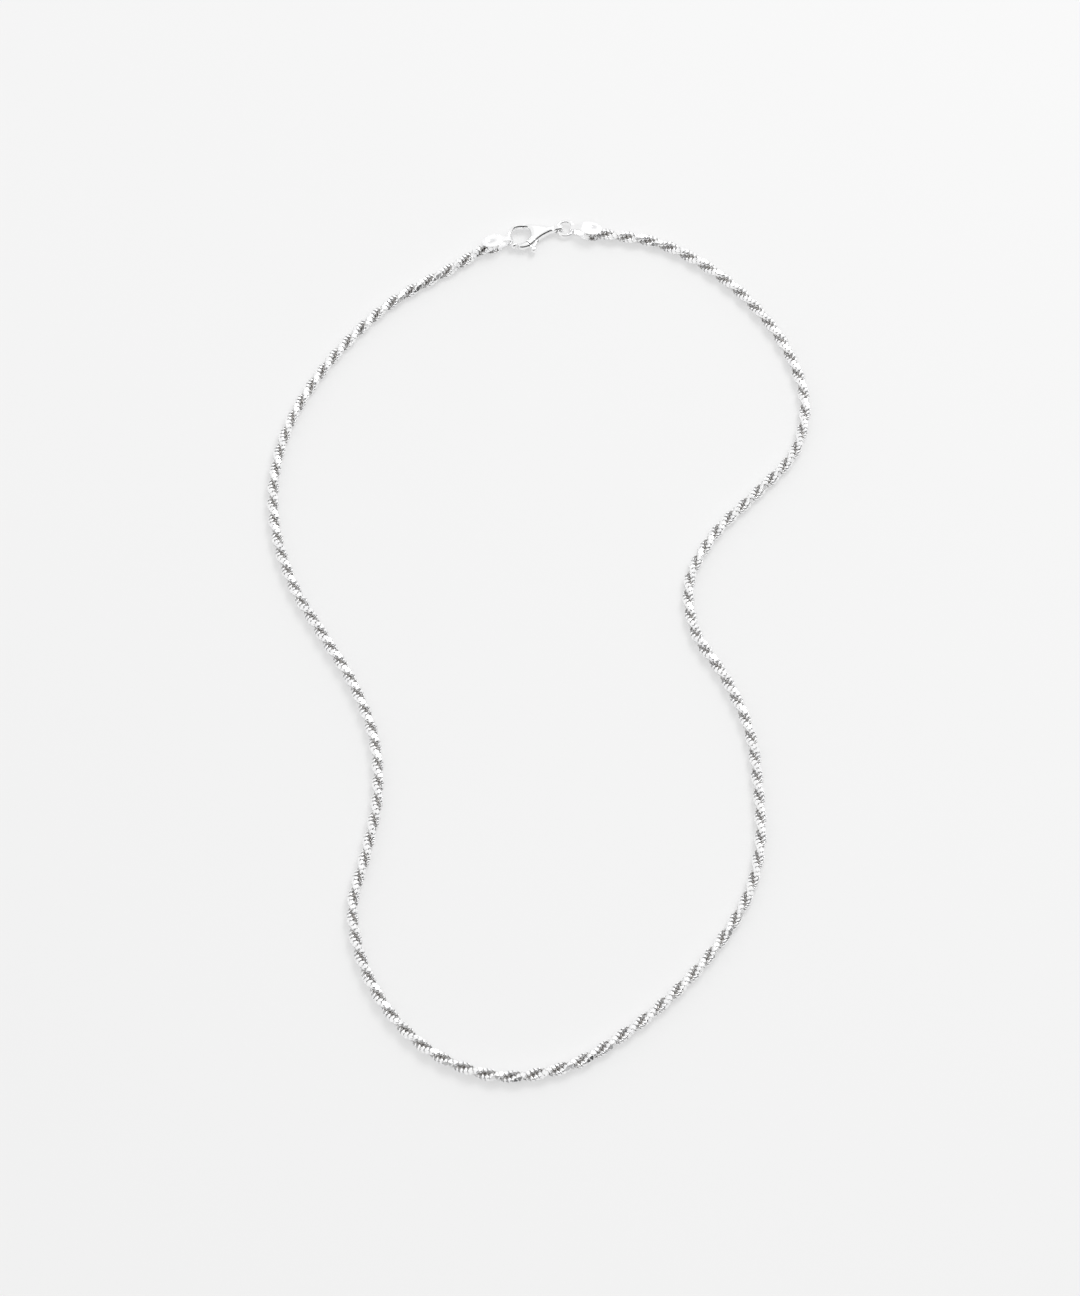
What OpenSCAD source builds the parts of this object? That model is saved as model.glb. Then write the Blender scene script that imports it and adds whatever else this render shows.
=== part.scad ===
// Rope chain necklace, lying flat and closed in a loose S-shaped loop.
// The rope of interlocked links is shown as a plain tube of its outer size. Its two ends
// are held between the plates of folded end caps. The left cap hangs on the claw of a
// lobster clasp, whose sprung lever turns on a pin. A jump ring joins the clasp's eye to
// the right cap. +Z is up, the necklace rests at z = 0, and +Y runs towards the clasp.

/* [Rope] */
// Diameter of the rope
rope_d = 2.4; // [2.1:0.1:2.8]
// Number of flat sides of the tube
rope_sides = 8; // [8:4:12]
// Length of rope held between the plates of a cap
rope_grip = 3.0; // [2.2:0.1:3.6]
// How far the rope lies to one side of the left cap's middle
rope_aside = 0.6; // [0:0.1:0.8]

/* [End caps] */
// Length of a cap from the outside of its loop to its open end
cap_len = 7.0; // [6.6:0.1:7.6]
// Width of a cap's plates
cap_w = 3.0; // [2.8:0.1:3.6]
// Width of the neck that is folded into a loop
neck_w = 1.2; // [1.0:0.05:1.4]
// Thickness of the sheet
cap_sheet = 0.3; // [0.2:0.02:0.34]

/* [Clasp] */
// Length of the clasp from the middle of its eye to the claw
clasp_len = 11.5; // [11.0:0.1:12.5]
// Thickness of the clasp's body
clasp_t = 2.3; // [2.2:0.05:2.7]
// Thickness of the round claw
claw_d = 1.0; // [0.8:0.05:1.1]
// Diameter of the rounded end of the claw
claw_tip_d = 1.1; // [1.0:0.05:1.2]
// Width of the eye
eye_w = 1.5; // [1.2:0.1:1.7]
// Diameter of the hole through the eye
eye_hole_d = 1.3; // [1.2:0.05:1.4]

/* [Lever] */
// Thickness of the lever inside the body's slot
lever_t = 1.1; // [0.9:0.05:1.3]
// Thickness of the lever's arm outside the slot
lever_arm_t = 2.1; // [1.5:0.05:2.2]
// Diameter of the lever's round boss
boss_d = 1.9; // [1.6:0.1:2.0]
// Diameter of the thumb knob
knob_d = 1.4; // [1.2:0.1:1.6]
// Height of the thumb knob
knob_t = 1.6; // [1.2:0.1:1.8]
// Diameter of the pin
pin_d = 0.7; // [0.5:0.05:0.8]

/* [Jump ring] */
// Diameter of the ring through the middle of its wire
ring_d = 3.5; // [3.3:0.1:4.2]
// Thickness of the ring's wire
ring_wire = 0.75; // [0.6:0.05:0.8]

/* [Place] */
// Place of the eye across the necklace
eye_x = 3.5; // [3:0.1:4]
// Place of the eye along the necklace
eye_y = 94.0; // [93.5:0.1:94.5]
// Turn of the clasp
clasp_turn = 190; // [188:1:192]
// Turn of the left cap, from its loop to its open end
cap_left_turn = 196; // [194:1:200]
// Turn of the right cap, from its loop to its open end
cap_right_turn = -12; // [-16:1:-10]

/* [Hidden] */
$fn = 48;

// Clearances between pieces that touch on the real thing
rope_gap = 0.05;  // rope to a cap's plates
hang_gap = 0.12;  // claw or ring to the inside of a cap's loop
slot_gap = 0.06;  // lever to the slot's cheeks
turn_gap = 0.05;  // lever's bore to the pin
seat_gap = 0.02;  // pin to the body's bore
swing_gap = 0.1;  // lever's outline to the metal round it
ring_drop = 0.15; // how far the ring lies below the middle of the eye

loop_steps = 16; // flats round a cap's loop

// The route of the rope between the caps, in millimetres, from the right cap round to the left
route_plan = [
    [25, 90.5], [35.5, 84.6], [45, 75.5], [52, 64.5], [55.5, 52], [53, 40], [45, 30.5],
    [36, 21], [30.5, 10], [31.5, -1.5], [37.5, -12], [42, -23.5], [43.5, -36], [43.5, -48.5],
    [40.5, -59.5], [34, -70], [25.5, -79.5], [16, -87.5], [5, -94], [-8, -96], [-20, -92],
    [-29, -84], [-35, -73.5], [-37.5, -61.5], [-35, -49.5], [-33, -37.5], [-34, -25],
    [-38.5, -13], [-45, -2], [-51, 8.5], [-55, 20.5], [-56, 33], [-53.5, 45.5], [-48, 57],
    [-40.5, 67.3], [-31.5, 76.3], [-19, 84.5]];

// Levels and places that follow from the sizes
mid_z = clasp_t / 2;                            // middle of the clasp, the ring and both loops
loop_r = mid_z - cap_sheet;                     // inside radius of a cap's loop
plate_gap = rope_d + 2 * rope_gap;              // space between a cap's plates
cap_h = plate_gap + 2 * cap_sheet;              // height of a cap over its plates
rope_cap_z = cap_h / 2;                         // height of the rope's middle in a cap
ring_r = ring_d / 2;

// How far an arc of radius r falls back from its crown over a width
function sag(r, width) = r - sqrt(r * r - width * width / 4);

// Middle of what hangs in a cap's loop, measured from the outside of the loop
function hang_from_loop(thickness, r) = cap_sheet + hang_gap + thickness / 2 + sag(r, neck_w);

// Claw of the clasp: an arc in the plan, as shares of the clasp's length
claw_mid = clasp_len * [0.730, 0.061];
claw_r = clasp_len * 0.226;
claw_from = -114;
claw_to = 48;
claw_root_to = -38;   // where the body's taper ends in the round claw
claw_tip_from = 30;   // where the flat end of the claw starts, clear of the cap's loop
claw_hang_angle = 8;
pivot = clasp_len * [0.496, 0.152];
knob_at = clasp_len * [0.532, 0.359];
cheek_r = clasp_len * 0.139;
lever_reach = clasp_len * 0.338;

// Outline of the clasp's flat body, as shares of its length, from the eye along the back to
// the claw, round the inside and back along the front
body_back = [[0.070, -0.052], [0.148, -0.062], [0.250, -0.108], [0.365, -0.145],
             [0.487, -0.172], [0.590, -0.191], [0.660, -0.204]];
body_inside = [[0.668, -0.113], [0.600, -0.104], [0.548, -0.066], [0.535, 0.005],
               [0.548, 0.070], [0.600, 0.130], [0.640, 0.200]];
body_front = [[0.610, 0.300], [0.540, 0.287], [0.480, 0.245], [0.422, 0.200],
              [0.340, 0.150], [0.270, 0.117], [0.200, 0.090], [0.139, 0.070], [0.070, 0.058]];

// Outline of the lever's arm and of its root in the slot, as shares of the clasp's length
arm_outline = [[0.560, 0.130], [0.660, 0.180], [0.745, 0.203], [0.822, 0.205],
               [0.824, 0.250], [0.790, 0.305], [0.715, 0.326], [0.620, 0.317], [0.545, 0.280]];
root_outline = [[0.535, 0.080], [0.657, 0.183], [0.661, 0.309], [0.575, 0.313],
                [0.561, 0.343], [0.505, 0.343], [0.485, 0.300], [0.424, 0.183]];
slot_outline = [[0.405, 0.187], [0.462, 0.330], [0.780, 0.400], [0.780, 0.110],
                [0.539, 0.040], [0.496, 0.052]];

// Half widths of a cap in the plan: share of the cap's length, share of its half width
cap_shoulders = [[0.36, 0.56], [0.45, 0.84], [0.54, 0.97], [0.64, 1.00],
                 [0.75, 0.95], [0.86, 0.80], [0.94, 0.56], [0.985, 0.28]];

function turned(a) = [cos(a), sin(a)];
function wrap(list, i) = list[(i + len(list)) % len(list)];

// A point of the smooth curve through four neighbouring points, at t from the second to the third
function through(a, b, c, d, t) =
    (2 * b + (c - a) * t + (2 * a - 5 * b + 4 * c - d) * t * t
     + (3 * b - a - 3 * c + d) * t * t * t) / 2;

// A closed curve through a list of points, with the given number of steps from each to the next
function closed_curve(list, steps) = [
    for (i = [0 : len(list) - 1], j = [0 : steps - 1])
        through(wrap(list, i - 1), list[i], wrap(list, i + 1), wrap(list, i + 2), j / steps)];

// An open curve through a list of points, from the first to the last
function open_point(list, i, t) =
    let (last = len(list) - 1)
    through(list[max(i - 1, 0)], list[i], list[min(i + 1, last)], list[min(i + 2, last)], t);
function open_curve(list, steps) = concat(
    [for (i = [0 : len(list) - 2], j = [0 : steps - 1]) open_point(list, i, j / steps)],
    [list[len(list) - 1]]);

// Places of the pieces in the plan
eye_at = [eye_x, eye_y];
ring_at = eye_at - (ring_r - sag(ring_r, eye_w) / 2) * turned(clasp_turn);
cap_right_at = ring_at + (ring_r - hang_from_loop(ring_wire, ring_r)) * turned(cap_right_turn);
function clasp_place(p) =
    eye_at + p.x * turned(clasp_turn) + p.y * turned(clasp_turn + 90);
cap_left_at = clasp_place(claw_mid + claw_r * turned(claw_hang_angle))
    - hang_from_loop(claw_d, claw_r) * turned(cap_left_turn);

// The rope's middle line: its ends lie level between the plates, and it sinks to the surface
grip_at = cap_len - rope_grip;
function in_cap(at, turn, along, aside) =
    let (p = at + along * turned(turn) + aside * turned(turn + 90)) [p.x, p.y, rope_cap_z];
rope_line = concat(
    [for (x = [grip_at, cap_len]) in_cap(cap_right_at, cap_right_turn, x, 0)],
    [for (p = route_plan) [p.x, p.y, rope_d / 2]],
    [for (x = [cap_len, grip_at]) in_cap(cap_left_at, cap_left_turn, x, rope_aside)]);

// A tube of regular sections along a line of points, lying with a flat side down
module tube(line, across_flats, sides) {
    last = len(line) - 1;
    r = across_flats / 2 / cos(180 / sides);
    rings = [
        for (i = [0 : last])
            let (
                run = line[min(i + 1, last)] - line[max(i - 1, 0)],
                ahead = run / norm(run),
                side = cross([0, 0, 1], ahead) / norm(cross([0, 0, 1], ahead)),
                up = cross(ahead, side))
            for (k = [0 : sides - 1])
                let (a = (k + 0.5) * 360 / sides)
                line[i] + r * (cos(a) * side + sin(a) * up)];
    polyhedron(
        points = rings,
        faces = concat(
            [[for (k = [0 : sides - 1]) k]],
            [[for (k = [sides - 1 : -1 : 0]) last * sides + k]],
            [for (i = [0 : last - 1], k = [0 : sides - 1])
                [i * sides + k, (i + 1) * sides + k, i * sides + (k + 1) % sides]],
            [for (i = [0 : last - 1], k = [0 : sides - 1])
                [(i + 1) * sides + k, (i + 1) * sides + (k + 1) % sides,
                 i * sides + (k + 1) % sides]]),
        convexity = 10);
}

// The rope never sinks below the surface that it lies on
rope_rings = [for (p = open_curve(rope_line, 2)) [p.x, p.y, max(p.z, rope_d / 2)]];

module rope_chain() {
    color("silver") tube(rope_rings, rope_d, rope_sides);
}

// One face of a cap's folded sheet from the side: along the lower plate, round the loop and
// up over the shoulder of the upper plate
function cap_face(inset) =
    let (
        middle = [mid_z, mid_z],
        r = mid_z - inset,
        shoulder = [clasp_t * 1.2, cap_h - inset],
        rise = shoulder - middle,
        lean = atan2(rise.y, rise.x) + acos(r / norm(rise)))
    concat(
        [[cap_len, inset]],
        [for (i = [0 : loop_steps]) middle + r * turned(270 - (270 - lean) * i / loop_steps)],
        [shoulder, [cap_len, cap_h - inset]]);

// A fold-over cap: two plates in the plan's teardrop shape, joined by a loop
module end_cap() {
    outer = cap_face(0);
    inner = cap_face(cap_sheet);
    edge = [for (s = cap_shoulders) [s[0] * cap_len, max(s[1] * cap_w, neck_w) / 2]];
    half = open_curve(concat([[cap_len * 0.26, neck_w / 2]], edge, [[cap_len, 0]]), 3);
    mirrored = [for (i = [len(half) - 2 : -1 : 0]) [half[i].x, -half[i].y]];
    intersection() {
        rotate([90, 0, 0]) linear_extrude(cap_w * 2, center = true)
            polygon(concat(outer, [for (i = [len(inner) - 1 : -1 : 0]) inner[i]]));
        translate([0, 0, -1]) linear_extrude(cap_h + 2)
            polygon(concat([[-1, neck_w / 2]], half, mirrored, [[-1, -neck_w / 2]]));
    }
}

module place_cap(at, turn) {
    translate([at.x, at.y, 0]) rotate([0, 0, turn]) children();
}

module end_cap_left() {
    color("gainsboro") place_cap(cap_left_at, cap_left_turn) end_cap();
}

module end_cap_right() {
    color("gainsboro") place_cap(cap_right_at, cap_right_turn) end_cap();
}

module place_clasp() {
    translate([eye_at.x, eye_at.y, mid_z]) rotate([0, 0, clasp_turn]) children();
}

module level_plate(thickness) {
    linear_extrude(thickness, center = true) children();
}

// Side outline of the flat body, level with the eye's middle: waisted behind the eye and
// tapered into the claw
body_thickness = [[0, 0.34], [0.105, 0.34], [0.155, 0.5], [0.79, 0.5], [0.915, 0.16]];
module body_side() {
    polygon(concat(
        [for (s = body_thickness) [s[0] * clasp_len, s[1] * clasp_t]],
        [for (i = [len(body_thickness) - 1 : -1 : 0])
            [body_thickness[i][0] * clasp_len, -body_thickness[i][1] * clasp_t]]));
}

// Part of the claw's ring in the plan, from one angle to another
module claw_sector(from, to) {
    translate(claw_mid) intersection() {
        difference() {
            circle(claw_r + claw_d / 2);
            circle(claw_r - claw_d / 2);
        }
        polygon(concat([[0, 0]], [for (i = [0 : 2]) 2 * claw_r * turned(from + (to - from) * i / 2)]));
    }
}

module clasp_body_shape() {
    outline = clasp_len * closed_curve(concat(body_back, body_inside, body_front), 4);
    difference() {
        union() {
            rotate([90, 0, 0]) cylinder(d = clasp_t, h = eye_w, center = true);
            intersection() {
                level_plate(clasp_t) {
                    difference() {
                        polygon(outline);
                        gate_cut();
                    }
                    claw_sector(claw_from, claw_root_to);
                }
                rotate([90, 0, 0]) level_plate(clasp_len * 2) body_side();
            }
            translate([claw_mid.x, claw_mid.y, 0]) rotate([0, 0, claw_from])
                rotate_extrude(angle = claw_to - claw_from) translate([claw_r, 0]) circle(d = claw_d);
            level_plate(lever_arm_t) {
                claw_sector(claw_tip_from, claw_to);
                translate(claw_end) circle(d = claw_tip_d);
            }
        }
        rotate([90, 0, 0]) cylinder(d = eye_hole_d, h = eye_w * 2, center = true);
        level_plate(lever_t + 2 * slot_gap) {
            translate(pivot) circle(d = boss_d + 2 * swing_gap);
            polygon(clasp_len * slot_outline);
        }
        translate([pivot.x, pivot.y, 0])
            cylinder(d = pin_d + 2 * seat_gap, h = clasp_t * 2, center = true);
    }
}

claw_end = claw_mid + claw_r * turned(claw_to);

// The part of the body's outline that is left open for the lever's arm
module gate_cut() {
    difference() {
        polygon(clasp_len * [[0.43, 0.4], [0.52, 0.22], [0.496, 0.152], [0.7, 0.02], [0.9, 0.02],
                             [0.9, 0.4]]);
        translate(pivot) circle(cheek_r);
    }
}

module clasp_body() {
    color("whitesmoke") place_clasp() clasp_body_shape();
}

module clasp_lever() {
    color("lightgray") place_clasp() difference() {
        union() {
            level_plate(lever_arm_t) intersection() {
                difference() {
                    polygon(clasp_len * closed_curve(arm_outline, 4));
                    translate(pivot) circle(cheek_r + swing_gap);
                }
                translate(pivot) circle(lever_reach);
            }
            level_plate(lever_t) {
                translate(pivot) circle(d = boss_d);
                polygon(clasp_len * root_outline);
            }
            level_plate(knob_t) translate(knob_at) circle(d = knob_d);
        }
        translate([pivot.x, pivot.y, 0])
            cylinder(d = pin_d + 2 * turn_gap, h = clasp_t * 2, center = true);
    }
}

module clasp_pin() {
    color("gray") place_clasp() translate([pivot.x, pivot.y, 0])
        cylinder(d = pin_d, h = clasp_t, center = true);
}

module jump_ring() {
    color("silver") translate([ring_at.x, ring_at.y, mid_z - ring_drop])
        rotate_extrude() translate([ring_r, 0]) circle(d = ring_wire);
}

rope_chain();
end_cap_left();
end_cap_right();
clasp_body();
clasp_lever();
clasp_pin();
jump_ring();
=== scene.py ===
"""A silver diamond-cut rope chain necklace, lying closed on a pale surface.

The rope is built link by link along the route of the plain tube in the frame. The end caps and
the lobster clasp are softened copies of their solids. The hinge pin and the jump ring are made
anew in the places of theirs.
"""

import logging
import math
import random
from dataclasses import dataclass
from enum import Enum
from typing import Iterable, Sequence

import bmesh
import bpy
from mathutils import Matrix, Vector
from mathutils.kdtree import KDTree


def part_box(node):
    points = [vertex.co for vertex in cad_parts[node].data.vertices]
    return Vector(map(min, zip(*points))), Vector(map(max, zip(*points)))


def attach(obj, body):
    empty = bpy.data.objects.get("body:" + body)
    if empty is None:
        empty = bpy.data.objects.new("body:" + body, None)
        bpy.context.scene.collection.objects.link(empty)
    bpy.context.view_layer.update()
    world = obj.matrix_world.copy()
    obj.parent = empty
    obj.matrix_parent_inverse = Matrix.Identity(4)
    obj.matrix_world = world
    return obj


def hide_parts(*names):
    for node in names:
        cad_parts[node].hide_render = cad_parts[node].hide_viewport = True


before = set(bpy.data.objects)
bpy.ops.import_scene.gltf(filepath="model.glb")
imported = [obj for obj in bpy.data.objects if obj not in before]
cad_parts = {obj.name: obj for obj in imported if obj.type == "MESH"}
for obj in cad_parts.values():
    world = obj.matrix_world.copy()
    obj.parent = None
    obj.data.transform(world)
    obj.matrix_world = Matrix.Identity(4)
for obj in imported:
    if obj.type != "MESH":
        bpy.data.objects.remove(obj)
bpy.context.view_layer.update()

LOG = logging.getLogger("necklace")
MM = 0.001

BMesh = bmesh.types.BMesh
Material = bpy.types.Material
Mesh = bpy.types.Mesh
Socket = bpy.types.NodeSocket
Tree = bpy.types.NodeTree
Span = tuple[float, float]
Triple = tuple[float, float, float]
Feed = Socket | float | Sequence[float]

# The rope's route between the caps in the plan, in millimetres, from the right cap to the left
ROUTE_PLAN = (
    (25, 90.5), (35.5, 84.6), (45, 75.5), (52, 64.5), (55.5, 52), (53, 40), (45, 30.5),
    (36, 21), (30.5, 10), (31.5, -1.5), (37.5, -12), (42, -23.5), (43.5, -36), (43.5, -48.5),
    (40.5, -59.5), (34, -70), (25.5, -79.5), (16, -87.5), (5, -94), (-8, -96), (-20, -92),
    (-29, -84), (-35, -73.5), (-37.5, -61.5), (-35, -49.5), (-33, -37.5), (-34, -25),
    (-38.5, -13), (-45, -2), (-51, 8.5), (-55, 20.5), (-56, 33), (-53.5, 45.5), (-48, 57),
    (-40.5, 67.3), (-31.5, 76.3), (-19, 84.5),
)


class Slot(Enum):
    """The record's material slots."""

    ROPE = "rope_silver"
    CAP = "cap_silver"
    CLASP = "clasp_silver"
    PIN = "pin_silver"
    RING = "ring_silver"


class Body(Enum):
    """The bodies that pieces ride on."""

    NECKLACE = "necklace"
    LEVER = "lever"


class SocketKind(Enum):
    """The kinds of socket that the node groups have."""

    NUMBER = "NodeSocketFloat"
    COLOUR = "NodeSocketColor"


def turned(degrees: float) -> Vector:
    """The unit vector in the plan at an angle from +X."""
    return Vector((math.cos(math.radians(degrees)), math.sin(math.radians(degrees)), 0.0))


def sag(radius: float, width: float) -> float:
    """How far an arc of a radius falls back from its crown over a width."""
    return radius - math.sqrt(radius * radius - width * width / 4)


def through(a: Vector, b: Vector, c: Vector, d: Vector, t: float) -> Vector:
    """A point of the smooth curve through four neighbours.

    Args:
        a: The point before the stretch.
        b: The stretch's first point.
        c: The stretch's last point.
        d: The point after the stretch.
        t: Share of the way from b to c.

    Returns:
        The point at t.
    """
    square = t * t
    return (
        2 * b + (c - a) * t + (2 * a - 5 * b + 4 * c - d) * square
        + (3 * b - a - 3 * c + d) * square * t
    ) / 2


def open_curve(points: Sequence[Vector], steps: int) -> list[Vector]:
    """A smooth open curve through points.

    Args:
        points: The points, in order.
        steps: Steps from each point to the next.

    Returns:
        The curve's points, first and last among them.
    """
    last = len(points) - 1
    out = []
    for i in range(last):
        a, b = points[max(i - 1, 0)], points[i]
        c, d = points[i + 1], points[min(i + 2, last)]
        out += [through(a, b, c, d, j / steps) for j in range(steps)]
    return out + [points[last].copy()]


@dataclass(frozen=True)
class Layout:
    """Sizes and places that the pieces share, in millimetres and degrees.

    Places on the clasp are shares of its length, from the middle of its eye.
    """

    rope_d: float = 2.4
    rope_grip: float = 3.0
    rope_gap: float = 0.05
    rope_aside: float = 0.6
    cap_len: float = 7.0
    cap_sheet: float = 0.3
    neck_w: float = 1.2
    hang_gap: float = 0.12
    clasp_len: float = 11.5
    clasp_t: float = 2.3
    claw_d: float = 1.0
    claw_share: tuple[float, float] = (0.730, 0.061)
    claw_r_share: float = 0.226
    claw_hang_angle: float = 8.0
    pivot_share: tuple[float, float] = (0.496, 0.152)
    eye_w: float = 1.5
    ring_d: float = 3.5
    ring_wire: float = 0.75
    ring_drop: float = 0.15
    eye_x: float = 3.5
    eye_y: float = 94.0
    clasp_turn: float = 190.0
    cap_left_turn: float = 196.0
    cap_right_turn: float = -12.0

    @property
    def cap_h(self) -> float:
        """Height of a cap over its plates."""
        return self.rope_d + 2 * self.rope_gap + 2 * self.cap_sheet

    @property
    def eye(self) -> Vector:
        """Middle of the clasp's eye, at the level of the clasp's middle."""
        return Vector((self.eye_x, self.eye_y, self.clasp_t / 2))

    @property
    def claw_mid(self) -> Vector:
        """Middle of the claw's arc, from the eye along the clasp."""
        return self.clasp_len * Vector((*self.claw_share, 0.0))

    @property
    def claw_r(self) -> float:
        """Radius of the claw's arc."""
        return self.clasp_len * self.claw_r_share

    @property
    def pivot(self) -> Vector:
        """The lever's pivot, from the eye along the clasp."""
        return self.clasp_len * Vector((*self.pivot_share, 0.0))

    @property
    def ring_at(self) -> Vector:
        """Middle of the jump ring."""
        reach = self.ring_d / 2 - sag(self.ring_d / 2, self.eye_w) / 2
        return self.eye - reach * turned(self.clasp_turn) - Vector((0, 0, self.ring_drop))

    @property
    def clasp_matrix(self) -> Matrix:
        """From the clasp's own frame to the row frame."""
        return Matrix.Translation(self.eye) @ Matrix.Rotation(math.radians(self.clasp_turn), 4, "Z")

    def from_pivot(self, reach: float = 0.0, turn: float = 0.0) -> Vector:
        """A point in the row frame, from the lever's pivot.

        Args:
            reach: Distance from the pivot.
            turn: Direction from the pivot, from the clasp's own X.

        Returns:
            The point, at the level of the clasp's middle.
        """
        return self.clasp_matrix @ (self.pivot + reach * turned(turn))

    def hang(self, thickness: float, radius: float) -> float:
        """Middle of what hangs in a loop, from the outside of the loop.

        Args:
            thickness: Thickness of the wire or claw that hangs there.
            radius: Radius of its arc.

        Returns:
            The distance along the cap.
        """
        return self.cap_sheet + self.hang_gap + thickness / 2 + sag(radius, self.neck_w)

    def cap_left_matrix(self) -> Matrix:
        """From a cap's own frame to the left cap's place."""
        on_claw = self.clasp_matrix @ (self.claw_mid + self.claw_r * turned(self.claw_hang_angle))
        at = on_claw - self.hang(self.claw_d, self.claw_r) * turned(self.cap_left_turn)
        return self._cap_matrix(at, self.cap_left_turn)

    def cap_right_matrix(self) -> Matrix:
        """From a cap's own frame to the right cap's place."""
        radius = self.ring_d / 2
        reach = radius - self.hang(self.ring_wire, radius)
        at = self.ring_at + reach * turned(self.cap_right_turn)
        return self._cap_matrix(at, self.cap_right_turn)

    def _cap_matrix(self, at: Vector, turn: float) -> Matrix:
        """A cap's place on the surface, from its loop's end and its turn."""
        return Matrix.Translation((at.x, at.y, 0)) @ Matrix.Rotation(math.radians(turn), 4, "Z")


class RopeLine:
    """The rope's middle line as a smooth curve that is read by length along it."""

    def __init__(self, layout: Layout, radius: float, steps: int = 24) -> None:
        """Lays the line.

        Args:
            layout: The shared sizes and places.
            radius: Height of the line above the surface where the rope lies on it.
            steps: Steps from each point of the route to the next.
        """
        in_cap = layout.cap_h / 2
        inner = layout.cap_len - layout.rope_grip
        right, left = layout.cap_right_matrix(), layout.cap_left_matrix()
        aside = layout.rope_aside
        ends_right = [right @ Vector((x, 0, in_cap)) for x in (inner, layout.cap_len)]
        ends_left = [left @ Vector((x, aside, in_cap)) for x in (layout.cap_len, inner)]
        lying = [Vector((x, y, radius)) for x, y in ROUTE_PLAN]
        self.points = open_curve(ends_right + lying + ends_left, steps)
        for point in self.points:
            point.z = max(point.z, radius)
        self.reach = [0.0]
        for a, b in zip(self.points, self.points[1:]):
            self.reach.append(self.reach[-1] + (b - a).length)

    @property
    def length(self) -> float:
        """Length of the whole line."""
        return self.reach[-1]

    def frames(self, stations: Iterable[float]) -> list[Matrix]:
        """The line's frame at each station.

        Args:
            stations: Lengths along the line, rising.

        Returns:
            A matrix for each, with X to the side, Y up and Z along the rope.
        """
        out = []
        i = 0
        for s in stations:
            while i < len(self.reach) - 2 and self.reach[i + 1] < s:
                i += 1
            share = (s - self.reach[i]) / (self.reach[i + 1] - self.reach[i])
            at = self.points[i].lerp(self.points[i + 1], share)
            before = self._ahead(i)
            after = self._ahead(min(i + 1, len(self.points) - 2))
            ahead = before.lerp(after, share).normalized()
            side = Vector((0, 0, 1)).cross(ahead).normalized()
            up = ahead.cross(side)
            rows = Matrix((side, up, ahead)).transposed().to_4x4()
            out.append(Matrix.Translation(at) @ rows)
        return out

    def _ahead(self, i: int) -> Vector:
        """Direction of the line about its point i."""
        last = len(self.points) - 1
        return (self.points[min(i + 1, last)] - self.points[max(i - 1, 0)]).normalized()


def finished(name: str, mesh: Mesh, materials: Sequence[Material]) -> bpy.types.Object:
    """An object at the origin that holds a mesh.

    Args:
        name: The piece's name.
        mesh: Its mesh, already in place.
        materials: Its materials, in the order of the mesh's material numbers.

    Returns:
        The object, linked to the scene.
    """
    mesh.name = name
    mesh.materials.clear()
    for material in materials:
        mesh.materials.append(material)
    piece = bpy.data.objects.new(name, mesh)
    bpy.context.scene.collection.objects.link(piece)
    return piece


def hand_over(piece: bpy.types.Object, body: Body, slot: Slot, *nodes: str) -> None:
    """Rides a piece on its body and lets it stand for its nodes.

    Args:
        piece: The finished piece.
        body: The body that it moves with.
        slot: Its material slot; not used.
        nodes: The frame's nodes that it stands for.
    """
    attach(piece, body.value)
    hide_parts(*nodes)
    LOG.info("%s: %d faces", piece.name, len(piece.data.polygons))


def to_metres(bm: BMesh, place: Matrix) -> None:
    """Sets a bmesh that was built in millimetres in its place in metres."""
    bmesh.ops.transform(bm, matrix=Matrix.Scale(MM, 4) @ place, verts=bm.verts)


def mesh_from(bm: BMesh, name: str) -> Mesh:
    """A mesh from a bmesh, which is freed."""
    mesh = bpy.data.meshes.new(name)
    bm.to_mesh(mesh)
    bm.free()
    return mesh


def shade_smooth(bm: BMesh) -> None:
    """Shades all faces smooth."""
    for face in bm.faces:
        face.smooth = True


def bent_wire(bend: float, thickness: float, start: float, sweep: float, sides: int,
              steps: int, roll: float = 0.0) -> BMesh:
    """A round wire that is bent about the origin in the plan, with a flat face at each end.

    Args:
        bend: Radius of its middle line.
        thickness: Diameter of the wire.
        start: Angle of its first end from +X, in degrees.
        sweep: Angle that it runs through, in degrees.
        sides: Sides of its section.
        steps: Stretches from end to end.
        roll: Turn of the section about the wire, in radians.

    Returns:
        The wire.
    """
    bm = bmesh.new()
    section = (Matrix.Rotation(math.radians(start), 4, "Z")
               @ Matrix.Translation((bend, 0, 0))
               @ Matrix.Rotation(math.radians(90), 4, "X")
               @ Matrix.Rotation(roll, 4, "Z"))
    bmesh.ops.create_circle(bm, segments=sides, radius=thickness / 2, matrix=section)
    bmesh.ops.spin(
        bm, geom=bm.verts[:] + bm.edges[:], cent=(0, 0, 0), axis=(0, 0, 1), dvec=(0, 0, 0),
        angle=math.radians(sweep), steps=steps, use_merge=False)
    bmesh.ops.holes_fill(bm, edges=bm.edges[:], sides=sides)
    bmesh.ops.recalc_face_normals(bm, faces=bm.faces[:])
    return bm


def round_rims(bm: BMesh, sides: int, width: float, steps: int) -> None:
    """Rounds the rims of a wire's or a rod's two end faces.

    Args:
        bm: The wire or rod.
        sides: Sides of its section, which tell its end faces from the others.
        width: Width of the rounding.
        steps: Faces across the rounding.
    """
    rims = [e for e in bm.edges if any(len(f.verts) == sides for f in e.link_faces)]
    bmesh.ops.bevel(bm, geom=rims, offset=width, segments=steps, profile=0.5, material=-1,
                    affect="EDGES")


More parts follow.
